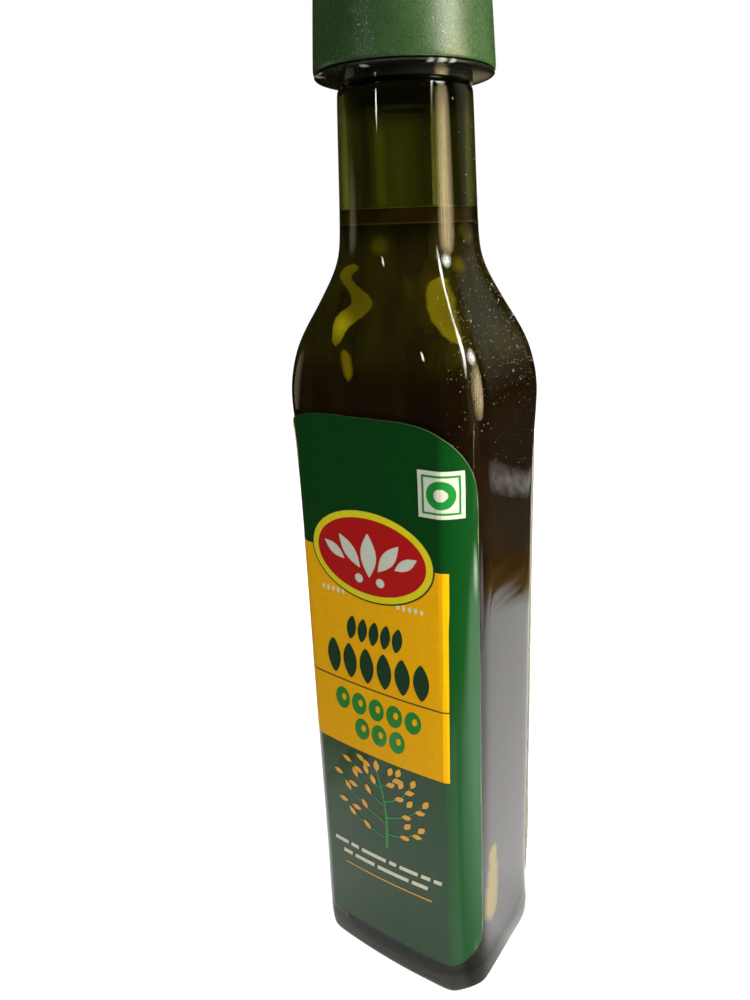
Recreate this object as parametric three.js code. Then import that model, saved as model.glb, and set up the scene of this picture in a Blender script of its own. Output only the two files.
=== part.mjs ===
// Full 250 ml oil bottle: hollow square-shouldered glass, oil, pour fitment, screw cap, two labels.
// Millimetres, +Z up, front label towards -Y, origin at the centre of the base.
import * as THREE from 'three';

// ---- driving dimensions ------------------------------------------------------------------
const WIDTH = 50.6;           // body across the front, X
const DEPTH = 41.3;           // body front to back, Y
const FACE_BOW = 0.9;         // the front and the back bulge this much in their middle
const CORNER_X = 6.5;         // eased corner: length taken from the front face
const CORNER_Y = 9;           // eased corner: length taken from the side face
const CORNER_EASE = 0.25;     // 0 is a plain chamfer, 0.55 a round
const WALL = 2.2;             // glass wall of the body
const FLOOR = 5.4;            // inside floor above the table, at its edge
const FLOOR_DOME = 1.2;       // the inside floor rises this much to its centre
const PUNT = 1.8;             // hollow under the base
const HEEL_H = 9.2;           // thicker band at the foot
const PANEL_H = 144.1;        // recessed panel that carries the labels
const SHOULDER_H = 35.7;      // from the panel to the straight neck
const NECK_H = 26;            // from the shoulder to the mouth
const NECK_R_LOW = 14.88;     // neck radius where it leaves the shoulder
const NECK_R_TOP = 13.52;     // neck radius under the cap
const LIP = 1.87;             // glass thickness at the mouth
const OIL_DOWN = 24.3;        // flat middle of the oil's surface, below the mouth
const MENISCUS = 2.3;         // how far the oil climbs at the glass
const GAP = 0.3;              // clearance between neighbouring pieces
const FLANGE_OVER = 4.23;     // the fitment's flange reaches this far out past the neck
const COLLAR_H = 1.15;        // the fitment's collar, between the mouth and the flange
const PLUG_H = 4.4;           // the part of the fitment inside the mouth
const BORE_R = 5;             // pouring hole
const CAP_OVER = 0.23;        // the cap's lower edge stands out past the flange
const CAP_H = 20;
const CAP_TAPER = 0.0688;     // radius lost per mm of height
const CAP_WALL = 1.6;
const LABEL_T = 0.15;         // label thickness
const LABEL_WRAP = 8.45;      // how far a label reaches along the corner, at mid height
const LABEL_TAPER = 0.02;     // half of the share by which its foot is wider than its head
const LABEL_MARGIN = { low: 0.7, high: 0.25 };   // bare panel under and over the labels
const LABEL_R = { low: 9.7, high: 16 };  // label corner radii
const LABEL_SKEW = 0.6;       // degrees the front label is turned, seen from the front

// ---- sizes that follow -------------------------------------------------------------------
const PANEL_TOP = HEEL_H + PANEL_H;
const GLASS_TOP = PANEL_TOP + SHOULDER_H + NECK_H;
const NECK_Z_LOW = PANEL_TOP + SHOULDER_H - 11;      // the neck tapers from here up
const OIL_LEVEL = GLASS_TOP - OIL_DOWN;
const MOUTH_R = NECK_R_TOP - LIP;
const FLANGE_R = NECK_R_TOP + FLANGE_OVER;
const COLLAR_Z = GLASS_TOP + GAP;
const FLANGE_Z = COLLAR_Z + COLLAR_H;
const FLANGE_T = 0.65;
const CAP_Z = FLANGE_Z + FLANGE_T + GAP;
const CAP_TOP = CAP_Z + CAP_H;
const CAP_R = FLANGE_R + CAP_OVER;
const BEND = WIDTH / 2 - CORNER_X;                   // where the front face turns into the corner
const LABEL_HALF = BEND + LABEL_WRAP;
const LABEL_Z = [HEEL_H + LABEL_MARGIN.low, PANEL_TOP - LABEL_MARGIN.high];

// ---- materials ---------------------------------------------------------------------------
const mat = (color, roughness, extra = {}) =>
  new THREE.MeshStandardMaterial({ color, roughness, metalness: 0, ...extra });
const MATERIALS = {
  glass: mat(0x39401a, 0.05, { transparent: true, opacity: 0.45 }),
  oil: mat(0x6b5c08, 0.1, { transparent: true, opacity: 0.9 }),
  fitment: mat(0x0c0d0c, 0.2),
  cap: mat(0x2f6b33, 0.42),
  front: mat(0x114a22, 0.45),
  back: mat(0x114a22, 0.45),
};

// ---- cross-section of the body -----------------------------------------------------------
// One quarter of the section, from the middle of the front face to the middle of the +X side.
const CORNER_STEPS = 5;
function quarter(a, b) {
  const end = a - CORNER_X, lead = CORNER_EASE * CORNER_X, slope = (2 * FACE_BOW) / end;
  const pts = [0, 1, 2].map((k) => [(end * k) / 3, -b + FACE_BOW * (k / 3) ** 2]);
  const p = [[end, -b + FACE_BOW], [end + lead, -b + FACE_BOW + slope * lead],
    [a, -(b - CORNER_Y) - CORNER_EASE * CORNER_Y], [a, -(b - CORNER_Y)]];
  for (let k = 0; k <= CORNER_STEPS; k++) {
    const t = k / CORNER_STEPS, s = 1 - t;
    const w = [s ** 3, 3 * s * s * t, 3 * s * t * t, t ** 3];
    pts.push([0, 1].map((i) => w.reduce((sum, wk, j) => sum + wk * p[j][i], 0)));
  }
  for (const f of [2 / 3, 1 / 3, 0]) pts.push([a, -(b - CORNER_Y) * f]);
  return pts;
}

const flip = (pts, sx, sy) => pts.map(([x, y]) => [x * sx, y * sy]);
function bodyRing(inset) {
  const q = quarter(WIDTH / 2 - inset, DEPTH / 2 - inset);
  const back = [...q].reverse();
  return [q, flip(back, 1, -1), flip(q, -1, -1), flip(back, -1, 1)].flatMap((s) => s.slice(0, -1));
}
const N = bodyRing(0).length;
const circle = (r) => Array.from({ length: N }, (_, i) => {
  const t = (i * 2 * Math.PI) / N;
  return [r * Math.sin(t), -r * Math.cos(t)];
});

function neckRadius(z) {
  const f = (Math.max(z, NECK_Z_LOW) - NECK_Z_LOW) / (GLASS_TOP - NECK_Z_LOW);
  return NECK_R_LOW + (NECK_R_TOP - NECK_R_LOW) * f;
}

// Outside of the glass, as rows of [height, inset from WIDTH and DEPTH, share of body section].
// The share runs from 1 on the square body to 0 on the round neck.
const HEEL = [[0.3, 0.1], [1.5, -0.12], [4, -0.28], [HEEL_H - 0.9, -0.28], [HEEL_H, 0.06]];
// Panel, as shares of its height, and shoulder, as heights over the panel.
const PANEL = [[0.144, 0.32], [0.353, 0.37], [0.561, 0.62], [0.769, 0.87], [0.907, 0.93],
  [0.963, 0.59], [1, 0.43]];
const SHOULDER_INSET = 0.43;
const SHOULDER = [[2.7, 0.997], [5.7, 0.97], [8.7, 0.915], [11.7, 0.842], [14.7, 0.728],
  [17.7, 0.585], [20.7, 0.425], [23.7, 0.286], [26.7, 0.148], [30.7, 0.024], [35.7, 0]];
const shoulderZ = (h) => PANEL_TOP + (h * SHOULDER_H) / 35.7;
const OUTSIDE = [
  ...HEEL.map(([z, inset]) => [z, inset, 1]),
  ...PANEL.map(([f, inset]) => [HEEL_H + PANEL_H * f, inset, 1]),
  ...SHOULDER.map(([h, share]) => [shoulderZ(h), SHOULDER_INSET, share]),
  ...[NECK_H / 2, NECK_H - 1.1].map((h) => [shoulderZ(35.7) + h, SHOULDER_INSET, 0]),
];

function blend(z, inset, share) {
  const square = bodyRing(inset), round = circle(neckRadius(z));
  return square.map(([x, y], i) => [
    x * share + round[i][0] * (1 - share), y * share + round[i][1] * (1 - share)]);
}

// The outside section at any height, read straight off the rows above.
function outside(z) {
  const k = Math.min(Math.max(OUTSIDE.findIndex((row) => row[0] >= z), 1), OUTSIDE.length - 1);
  const [lo, hi] = [OUTSIDE[k - 1], OUTSIDE[k]];
  const f = Math.min(Math.max((z - lo[0]) / (hi[0] - lo[0]), 0), 1);
  const [p, q] = [blend(...lo), blend(...hi)];
  return p.map(([x, y], i) => [x + (q[i][0] - x) * f, y + (q[i][1] - y) * f]);
}

// Moves each side of a section outwards by d and joins the sides again.
function offset(ring, d) {
  return ring.map((p, i) => {
    const a = ring[(i + ring.length - 1) % ring.length], c = ring[(i + 1) % ring.length];
    const n = [[a, p], [p, c]].map(([u, v]) => {
      const l = Math.hypot(v[0] - u[0], v[1] - u[1]);
      return [(v[1] - u[1]) / l, -(v[0] - u[0]) / l];
    });
    const m = [n[0][0] + n[1][0], n[0][1] + n[1][1]];
    const s = (2 * d) / (m[0] * m[0] + m[1] * m[1]);
    return [p[0] + m[0] * s, p[1] + m[1] * s];
  });
}

const lift = (ring, z) => ring.map(([x, y]) => [x, y, z]);
const scaled = (ring, f) => ring.map(([x, y]) => [x * f, y * f]);

// ---- mesh building -----------------------------------------------------------------------
// A closed body from a pole on the axis, through rings of N points, to a second pole.
function skin(poleA, rings, poleB) {
  const position = [0, 0, poleA, ...rings.flat(2), 0, 0, poleB];
  const at = (r, i) => 1 + r * N + (i % N), last = 1 + rings.length * N;
  const index = [];
  for (let i = 0; i < N; i++) {
    index.push(0, at(0, i + 1), at(0, i));
    for (let r = 0; r + 1 < rings.length; r++) {
      index.push(at(r, i), at(r, i + 1), at(r + 1, i), at(r, i + 1), at(r + 1, i + 1), at(r + 1, i));
    }
    index.push(last, at(rings.length - 1, i), at(rings.length - 1, i + 1));
  }
  return geometry(position, index);
}

function geometry(position, index) {
  const g = new THREE.BufferGeometry();
  g.setAttribute('position', new THREE.Float32BufferAttribute(position, 3));
  g.setIndex(index);
  g.computeVertexNormals();
  return g;
}

function turned(profile, segments = 48) {
  const g = new THREE.LatheGeometry(profile.map(([r, z]) => new THREE.Vector2(r, z)), segments);
  return g.rotateX(Math.PI / 2);
}

const group = new THREE.Group();
group.name = 'oil_bottle';
function add(name, geom, material) {
  const mesh = new THREE.Mesh(geom, material);
  mesh.name = name;
  group.add(mesh);
}

// ---- glass -------------------------------------------------------------------------------
// Wall thickness falls from the body to the mouth.
const WALL_AT = [[0, WALL], [PANEL_TOP, WALL], [shoulderZ(18), WALL + 0.15], [GLASS_TOP, LIP]];
function wall(z) {
  const k = Math.max(WALL_AT.findIndex((row) => row[0] > z), 1);
  const [lo, hi] = z >= GLASS_TOP ? WALL_AT.slice(-2) : [WALL_AT[k - 1], WALL_AT[k]];
  return lo[1] + ((hi[1] - lo[1]) * (z - lo[0])) / (hi[0] - lo[0]);
}
// The inside ignores the heel and the label panel, whose steps are only on the outside.
const FLOOR_Z = FLOOR + 5.6;
const INSIDE_Z = [
  FLOOR_Z, ...[0.144, 0.561, 0.907].map((f) => HEEL_H + PANEL_H * f),
  ...[-1.5, ...SHOULDER.slice(1).map((row) => row[0])].map(shoulderZ),
];
const inside = (z) => offset(outside(z), -wall(z));

const heel = bodyRing(0);
const base = [
  lift(scaled(heel, 0.55), PUNT - 0.2), lift(scaled(heel, 0.8), 0.7),
  lift(bodyRing(3.3), 0), lift(bodyRing(0.6), 0),
];
const cavity = (d) => {
  const floorRing = offset(inside(FLOOR_Z), -d);
  return [
    lift(scaled(floorRing, 0.5), FLOOR + d + FLOOR_DOME * 0.75),
    lift(scaled(floorRing, 0.88), FLOOR + d),
    lift(scaled(floorRing, 0.97), FLOOR + d + 0.9),
    ...INSIDE_Z.map((z) => lift(offset(inside(z), -d), z)),
  ];
};
const rim = [
  lift(circle(NECK_R_TOP - 0.12), GLASS_TOP - 0.45), lift(circle(NECK_R_TOP - 0.5), GLASS_TOP),
  lift(circle(MOUTH_R), GLASS_TOP),
];
add('bottle_glass', skin(
  PUNT,
  [...base, ...OUTSIDE.map(([z, i, s]) => lift(blend(z, i, s), z)), ...rim, ...cavity(0).reverse()],
  FLOOR + FLOOR_DOME,
), MATERIALS.glass);

// ---- oil ---------------------------------------------------------------------------------
const oilR = (z) => Math.hypot(...offset(inside(z), -GAP)[0]);
const edge = oilR(OIL_LEVEL + MENISCUS);
const surface = [[1, 1], [0.93, 0.52], [0.82, 0.2], [0.6, 0.03]];
add('olive_oil', skin(
  FLOOR + FLOOR_DOME + GAP,
  [...cavity(GAP), ...surface.map(([r, h]) => lift(circle(edge * r), OIL_LEVEL + MENISCUS * h))],
  OIL_LEVEL,
), MATERIALS.oil);

// ---- pour fitment ------------------------------------------------------------------------
const plugR = MOUTH_R - GAP, plugZ = GLASS_TOP - PLUG_H, collarR = NECK_R_TOP - 0.07;
add('pour_fitment', turned([
  [BORE_R, plugZ], [plugR - 0.4, plugZ], [plugR, plugZ + 0.5], [plugR, COLLAR_Z],
  [collarR, COLLAR_Z], [collarR, FLANGE_Z], [FLANGE_R - 0.7, FLANGE_Z + 0.12],
  [FLANGE_R - 0.15, FLANGE_Z + 0.3], [FLANGE_R, FLANGE_Z + 0.5],
  [FLANGE_R - 0.1, FLANGE_Z + FLANGE_T], [BORE_R, FLANGE_Z + FLANGE_T], [BORE_R, plugZ],
]), MATERIALS.fitment);

// ---- cap ---------------------------------------------------------------------------------
const capR = (z) => CAP_R - CAP_TAPER * (z - CAP_Z);
add('screw_cap', turned([
  [0, CAP_TOP - 2], [capR(CAP_TOP - 3) - CAP_WALL - 0.8, CAP_TOP - 2],
  [capR(CAP_TOP - 3) - CAP_WALL, CAP_TOP - 2.8],
  [CAP_R - CAP_WALL, CAP_Z], [CAP_R - 0.25, CAP_Z], [CAP_R, CAP_Z + 0.35], [capR(CAP_Z + 2), CAP_Z + 2],
  [capR(CAP_TOP - 2), CAP_TOP - 2], [capR(CAP_TOP) - 0.55, CAP_TOP - 0.55],
  [capR(CAP_TOP) - 1.9, CAP_TOP], [0, CAP_TOP],
]), MATERIALS.cap);

// ---- labels ------------------------------------------------------------------------------
// A label is a grid bent round the panel: columns along the glass, rows up it.
const LABEL_ROWS = [0, 0.13, 0.35, 0.56, 0.77, 0.905, 0.963, 1];
const inset = (d, r) => (d >= r ? 0 : r - Math.sqrt(Math.max(r * r - (r - d) ** 2, 0)));

// Section at height z, pushed out by d, walked to the distance u from the middle of the front.
function onPanel(u, z, d) {
  const ring = offset(outside(z), d);
  let i = 0, left = Math.abs(u);
  for (;; i++) {
    const l = Math.hypot(ring[i + 1][0] - ring[i][0], ring[i + 1][1] - ring[i][1]);
    if (left <= l) {
      const f = left / l;
      const [x, y] = [0, 1].map((k) => ring[i][k] + (ring[i + 1][k] - ring[i][k]) * f);
      return [Math.sign(u || 1) * x, y, z];
    }
    left -= l;
  }
}

function label(skew) {
  const turn = (skew * Math.PI) / 180, mid = (LABEL_Z[0] + LABEL_Z[1]) / 2;
  const half = [0, BEND / 3, (BEND * 2) / 3, BEND - 1.1, BEND - 0.6, BEND - 0.1,
    ...[0.06, 0.2, 0.37, 0.55, 0.72, 0.86, 0.95, 1].map((f) => BEND + LABEL_WRAP * f)];
  const columns = [...half.slice(1).map((u) => -u).reverse(), ...half];
  const grid = (d) => columns.map((u) => {
    const z0 = LABEL_Z[0] + inset(LABEL_HALF - Math.abs(u), LABEL_R.low);
    const z1 = LABEL_Z[1] - inset(LABEL_HALF - Math.abs(u), LABEL_R.high);
    return LABEL_ROWS.map((f) => {
      const h = z0 + (z1 - z0) * f - mid, v = u * (1 - (LABEL_TAPER * h) / mid);
      return onPanel(v - h * Math.sin(turn), mid + h + v * Math.sin(turn), d);
    });
  });
  const C = columns.length, R = LABEL_ROWS.length, inner = C * R;
  const position = [...grid(GAP + LABEL_T).flat(2), ...grid(GAP).flat(2)];
  const index = [], at = (c, r) => c * R + r;
  for (let c = 0; c + 1 < C; c++) {
    for (let r = 0; r + 1 < R; r++) {
      const q = [at(c, r), at(c + 1, r), at(c + 1, r + 1), at(c, r + 1)];
      index.push(q[0], q[1], q[2], q[0], q[2], q[3]);
      index.push(...[q[2], q[1], q[0], q[3], q[2], q[0]].map((i) => i + inner));
    }
  }
  const rimLoop = [
    ...Array.from({ length: C }, (_, c) => at(c, 0)),
    ...Array.from({ length: R - 1 }, (_, r) => at(C - 1, r + 1)),
    ...Array.from({ length: C - 1 }, (_, c) => at(C - 2 - c, R - 1)),
    ...Array.from({ length: R - 2 }, (_, r) => at(0, R - 2 - r)),
  ];
  rimLoop.forEach((p, i) => {
    const q = rimLoop[(i + 1) % rimLoop.length];
    index.push(p, p + inner, q + inner, p, q + inner, q);
  });
  return geometry(position, index);
}
add('front_label', label(LABEL_SKEW), MATERIALS.front);
add('back_label', label(0).rotateZ(Math.PI), MATERIALS.back);

export default group;
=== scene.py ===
import math
import random
import bpy
from mathutils import Matrix, Vector


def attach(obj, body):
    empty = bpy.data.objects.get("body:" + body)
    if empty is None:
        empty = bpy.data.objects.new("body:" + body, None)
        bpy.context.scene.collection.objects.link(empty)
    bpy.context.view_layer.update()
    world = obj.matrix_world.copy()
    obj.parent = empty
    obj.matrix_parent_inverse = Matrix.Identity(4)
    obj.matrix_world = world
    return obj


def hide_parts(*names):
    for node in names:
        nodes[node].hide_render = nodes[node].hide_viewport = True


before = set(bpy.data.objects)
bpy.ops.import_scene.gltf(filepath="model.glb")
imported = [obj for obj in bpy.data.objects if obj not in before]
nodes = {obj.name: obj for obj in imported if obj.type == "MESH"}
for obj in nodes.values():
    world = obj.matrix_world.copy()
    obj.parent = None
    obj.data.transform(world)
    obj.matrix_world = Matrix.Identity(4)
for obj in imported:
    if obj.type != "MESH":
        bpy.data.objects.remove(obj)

MM = 0.001
SAME_POINT = 1e-6                    # corners closer than this, in metres, are merged
QUAD_BEND, QUAD_SKEW = 35, 60        # degrees that two triangles may be out of true to make a quad
LEVEL_BAND = 0.01 * MM               # edges this close to a flattened top are part of its rim
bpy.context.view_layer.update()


# ---- small helpers -----------------------------------------------------------------------
def choose(*objects):
    """Select only these, with the first active."""
    bpy.ops.object.select_all(action="DESELECT")
    for o in objects:
        o.select_set(True)
    bpy.context.view_layer.objects.active = objects[0]


def place(piece):
    """Put a finished piece's place, turn and size into its mesh."""
    choose(piece)
    bpy.ops.object.transform_apply(location=True, rotation=True, scale=True)


def join(shapes, name):
    """Make several shapes one named piece."""
    choose(*shapes)
    if len(shapes) > 1:
        bpy.ops.object.join()
    piece = bpy.context.object
    place(piece)
    piece.name = piece.data.name = name
    return piece


def copy_solid(node, name):
    """A copy of a CAD solid that belongs to no body yet and has no material."""
    choose(nodes[node])
    bpy.ops.object.duplicate()
    piece = bpy.context.object
    piece.name = piece.data.name = name
    for key in list(piece.keys()):
        del piece[key]
    piece.parent = None
    piece.data.materials.clear()
    return piece


def flatten_top(piece, top):
    """Bring all that is above a height down to it, with a rim that rounding keeps sharp."""
    crease = piece.data.attributes.new("crease_edge", "FLOAT", "EDGE")
    points = piece.data.vertices
    for v in points:
        v.co.z = min(v.co.z, top)
    for edge, mark in zip(piece.data.edges, crease.data):
        mark.value = float(all(points[i].co.z > top - LEVEL_BAND for i in edge.vertices))


def smooth_copy(node, name, levels, crease_over=None, grow=0.0, top=None):
    """A rounded copy of a CAD solid: doubles merged, quads restored, sharp rims kept."""
    piece = copy_solid(node, name)
    bpy.ops.object.mode_set(mode="EDIT")
    bpy.ops.mesh.select_all(action="SELECT")
    bpy.ops.mesh.remove_doubles(threshold=SAME_POINT)
    bpy.ops.mesh.customdata_custom_splitnormals_clear()
    bpy.ops.mesh.tris_convert_to_quads(
        face_threshold=math.radians(QUAD_BEND), shape_threshold=math.radians(QUAD_SKEW))
    if grow:
        bpy.ops.transform.shrink_fatten(value=grow, use_even_offset=True)
    bpy.ops.mesh.select_all(action="DESELECT")
    if crease_over:
        bpy.ops.mesh.select_mode(type="EDGE")
        bpy.ops.mesh.edges_select_sharp(sharpness=math.radians(crease_over))
        bpy.ops.transform.edge_crease(value=1.0)
    bpy.ops.object.mode_set(mode="OBJECT")
    if top:
        flatten_top(piece, top)
    rounding = piece.modifiers.new("rounding", "SUBSURF")
    rounding.levels = rounding.render_levels = levels
    bpy.ops.object.modifier_apply(modifier=rounding.name)
    bpy.ops.object.shade_smooth()
    if crease_over:
        bpy.ops.object.shade_smooth_by_angle(angle=math.radians(crease_over))
    return piece


def dress(piece, material, slot, *replaced):
    """Give a piece its material, the root body and the solids that it stands for; slot is not used."""
    piece.data.materials.clear()
    piece.data.materials.append(material)
    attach(piece, "root")
    if replaced:
        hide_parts(*replaced)


# ---- shared effects ----------------------------------------------------------------------
NOISE_LOW, NOISE_HIGH = 0.32, 0.68   # most of the noise lies between these


def new_effect(name, output, **inputs):
    """A node group with named inputs and one value put out."""
    group = bpy.data.node_groups.new(name, "ShaderNodeTree")
    for key, value in inputs.items():
        kind = "NodeSocketVector" if isinstance(value, tuple) else "NodeSocketFloat"
        socket = group.interface.new_socket(key, in_out="INPUT", socket_type=kind)
        socket.default_value = value
    group.interface.new_socket(output, in_out="OUTPUT", socket_type="NodeSocketFloat")
    given = group.nodes.new("NodeGroupInput").outputs
    result = group.nodes.new("NodeGroupOutput").inputs
    return group, given, result


def add_node(tree, kind, **settings):
    n = tree.nodes.new(kind)
    for key, value in settings.items():
        setattr(n, key, value)
    return n


def add_math(tree, operation):
    return add_node(tree, "ShaderNodeMath", operation=operation)


def add_vector_math(tree, operation):
    return add_node(tree, "ShaderNodeVectorMath", operation=operation)


def wire(tree, *pairs):
    for source, target in pairs:
        tree.links.new(source, target)


def grain_effect():
    """Uneven tone or finish: noise, drawn out by Stretch, spread from Low to High."""
    group, given, result = new_effect(
        "uneven_grain", "Amount", Scale=100.0, Detail=3.0, Stretch=(1.0, 1.0, 1.0), Low=0.0, High=1.0)
    coords = add_node(group, "ShaderNodeTexCoord")
    mapping = add_node(group, "ShaderNodeMapping")
    pattern = add_node(group, "ShaderNodeTexNoise")
    level = add_node(group, "ShaderNodeMapRange")
    level.inputs["From Min"].default_value = NOISE_LOW
    level.inputs["From Max"].default_value = NOISE_HIGH
    wire(group,
         (coords.outputs["Object"], mapping.inputs["Vector"]),
         (given["Stretch"], mapping.inputs["Scale"]),
         (mapping.outputs["Vector"], pattern.inputs["Vector"]),
         (given["Scale"], pattern.inputs["Scale"]),
         (given["Detail"], pattern.inputs["Detail"]),
         (pattern.outputs["Fac"], level.inputs["Value"]),
         (given["Low"], level.inputs["To Min"]),
         (given["High"], level.inputs["To Max"]),
         (level.outputs["Result"], result["Amount"]))
    return group


def height_effect():
    """0 at From and 1 at To, heights over the table in metres; From may be the higher one."""
    group, given, result = new_effect("by_height", "Mask", From=0.0, To=1.0)
    coords = add_node(group, "ShaderNodeTexCoord")
    split = add_node(group, "ShaderNodeSeparateXYZ")
    step = add_node(group, "ShaderNodeMapRange", interpolation_type="SMOOTHSTEP")
    wire(group,
         (coords.outputs["Object"], split.inputs[0]),
         (split.outputs["Z"], step.inputs["Value"]),
         (given["From"], step.inputs["From Min"]),
         (given["To"], step.inputs["From Max"]),
         (step.outputs["Result"], result["Mask"]))
    return group


def spot_effect():
    """1 inside an egg-shaped spot, 0 outside it; Edge is how far its rim fades."""
    group, given, result = new_effect(
        "soft_spot", "Mask", Place=(0.0, 0.0, 0.0), Reach=(1.0, 1.0, 1.0), Edge=0.3)
    coords = add_node(group, "ShaderNodeTexCoord")
    mapping = add_node(group, "ShaderNodeMapping", vector_type="TEXTURE")
    away = add_vector_math(group, "LENGTH")
    rim = add_node(group, "ShaderNodeMapRange")
    inner = add_math(group, "SUBTRACT")
    inner.inputs[0].default_value = 1.0
    rim.inputs["From Min"].default_value = 1.0
    wire(group,
         (coords.outputs["Object"], mapping.inputs["Vector"]),
         (given["Place"], mapping.inputs["Location"]),
         (given["Reach"], mapping.inputs["Scale"]),
         (mapping.outputs["Vector"], away.inputs[0]),
         (away.outputs["Value"], rim.inputs["Value"]),
         (given["Edge"], inner.inputs[1]),
         (inner.outputs[0], rim.inputs["From Max"]),
         (rim.outputs["Result"], result["Mask"]))
    return group


def band_effect():
    """1 on the front where x is within Half of Middle, fading over Soft at the rims."""
    group, given, result = new_effect("front_band", "Mask", Middle=0.0, Half=0.001, Soft=0.0004)
    coords = add_node(group, "ShaderNodeTexCoord")
    split = add_node(group, "ShaderNodeSeparateXYZ")
    off = add_math(group, "SUBTRACT")
    distance = add_math(group, "ABSOLUTE")
    rim = add_math(group, "SUBTRACT")
    edge = add_node(group, "ShaderNodeMapRange")
    front = add_math(group, "LESS_THAN")
    both = add_math(group, "MULTIPLY")
    front.inputs[1].default_value = 0.0
    wire(group,
         (coords.outputs["Object"], split.inputs[0]),
         (split.outputs["X"], off.inputs[0]),
         (given["Middle"], off.inputs[1]),
         (off.outputs[0], distance.inputs[0]),
         (given["Half"], rim.inputs[0]),
         (given["Soft"], rim.inputs[1]),
         (distance.outputs[0], edge.inputs["Value"]),
         (given["Half"], edge.inputs["From Min"]),
         (rim.outputs[0], edge.inputs["From Max"]),
         (split.outputs["Y"], front.inputs[0]),
         (edge.outputs["Result"], both.inputs[0]),
         (front.outputs[0], both.inputs[1]),
         (both.outputs[0], result["Mask"]))
    return group


EFFECTS = {"grain": grain_effect(), "height": height_effect(), "spot": spot_effect(), "band": band_effect()}


# ---- material helpers --------------------------------------------------------------------
MIX_FACTOR, MIX_FIRST, MIX_SECOND, MIX_COLOR = 0, 6, 7, 2    # sockets of a Mix node set to colour


def new_material(name):
    material = bpy.data.materials.new(name)
    material.use_nodes = True
    tree = material.node_tree
    return material, tree, tree.nodes["Principled BSDF"]


def effect(tree, kind, **values):
    """Place a shared effect with its own values, and give the value that it puts out."""
    n = tree.nodes.new("ShaderNodeGroup")
    n.node_tree = EFFECTS[kind]
    for key, value in values.items():
        n.inputs[key].default_value = value
    return n.outputs[0]


def by_height(tree, start, end):
    """0 at the first height and 1 at the second."""
    return effect(tree, "height", From=start, To=end)


def mixed(tree, factor, a, b):
    """Colour a where factor is 0, b where it is 1."""
    n = add_node(tree, "ShaderNodeMix", data_type="RGBA")
    tree.links.new(factor, n.inputs[MIX_FACTOR])
    for socket, value in ((n.inputs[MIX_FIRST], a), (n.inputs[MIX_SECOND], b)):
        if isinstance(value, tuple):
            socket.default_value = (*value, 1)
        else:
            tree.links.new(value, socket)
    return n.outputs[MIX_COLOR]


def times(tree, a, b):
    n = add_math(tree, "MULTIPLY")
    wire(tree, (a, n.inputs[0]), (b, n.inputs[1]))
    return n.outputs[0]


def spread(tree, value, low, high, start=0.0, end=1.0):
    """Low where the value is at start, high where it is at end."""
    n = add_node(tree, "ShaderNodeMapRange")
    for key, number in (("From Min", start), ("From Max", end), ("To Min", low), ("To Max", high)):
        n.inputs[key].default_value = number
    tree.links.new(value, n.inputs["Value"])
    return n.outputs["Result"]


def set_plain(surface, **values):
    """Numbers and colours that are the same all over."""
    for key, value in values.items():
        surface.inputs[key.replace("_", " ")].default_value = value


def feed(tree, surface, **values):
    """Numbers and colours that change over the surface."""
    for key, source in values.items():
        tree.links.new(source, surface.inputs[key.replace("_", " ")])


def absorb(tree, color, density):
    """Take up light on its way through."""
    volume = add_node(tree, "ShaderNodeVolumeAbsorption")
    volume.inputs["Color"].default_value = (*color, 1)
    volume.inputs["Density"].default_value = density
    tree.links.new(volume.outputs[0], tree.nodes["Material Output"].inputs["Volume"])


def spotted(tree, color, places, shade, tall, soft):
    """Lay spots of one colour over a colour; tall is their height over their width."""
    for x, y, z, r in places:
        spot = effect(tree, "spot", Place=(x * MM, y * MM, z * MM), Reach=(r * MM, r * MM, r * tall * MM),
                      Edge=soft)
        color = mixed(tree, spot, color, shade)
    return color


# ---- glass -------------------------------------------------------------------------------
GLASS = {
    # the first three colours are dim and lit copies of the neck glass: painted streaks of light
    "neck_dim": (0.052, 0.05, 0.01),
    "neck_lit": (0.135, 0.14, 0.03),
    "neck_light_streak": (0.26, 0.29, 0.055),
    # painted shade along the neck's edges
    "neck_edge_shade": (0.034, 0.025, 0.008),
    # painted shade at the top of the neck, under the cap
    "lip_shade": (0.05, 0.05, 0.012),
    "body_deep": (0.74, 0.74, 0.5),
    "body_clear": (0.84, 0.84, 0.6),
    # painted shade: the glass at the base made nearly black
    "base": (0.004, 0.0045, 0.003),
    "inside": (0.45, 0.42, 0.05),
}
# Heights in metres at which a tint starts and is full; at the lip and at the base the tint is painted
# shade.
LIP_SHADE = (0.2088, 0.2112)
NECK_TINT = (0.184, 0.191)
BASE_SHADE = (0.013, 0.007)
EDGE_SHADE_SLANT = (0.35, 0.8)             # how far the neck turns from the view where its painted edge shade starts and is full


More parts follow.
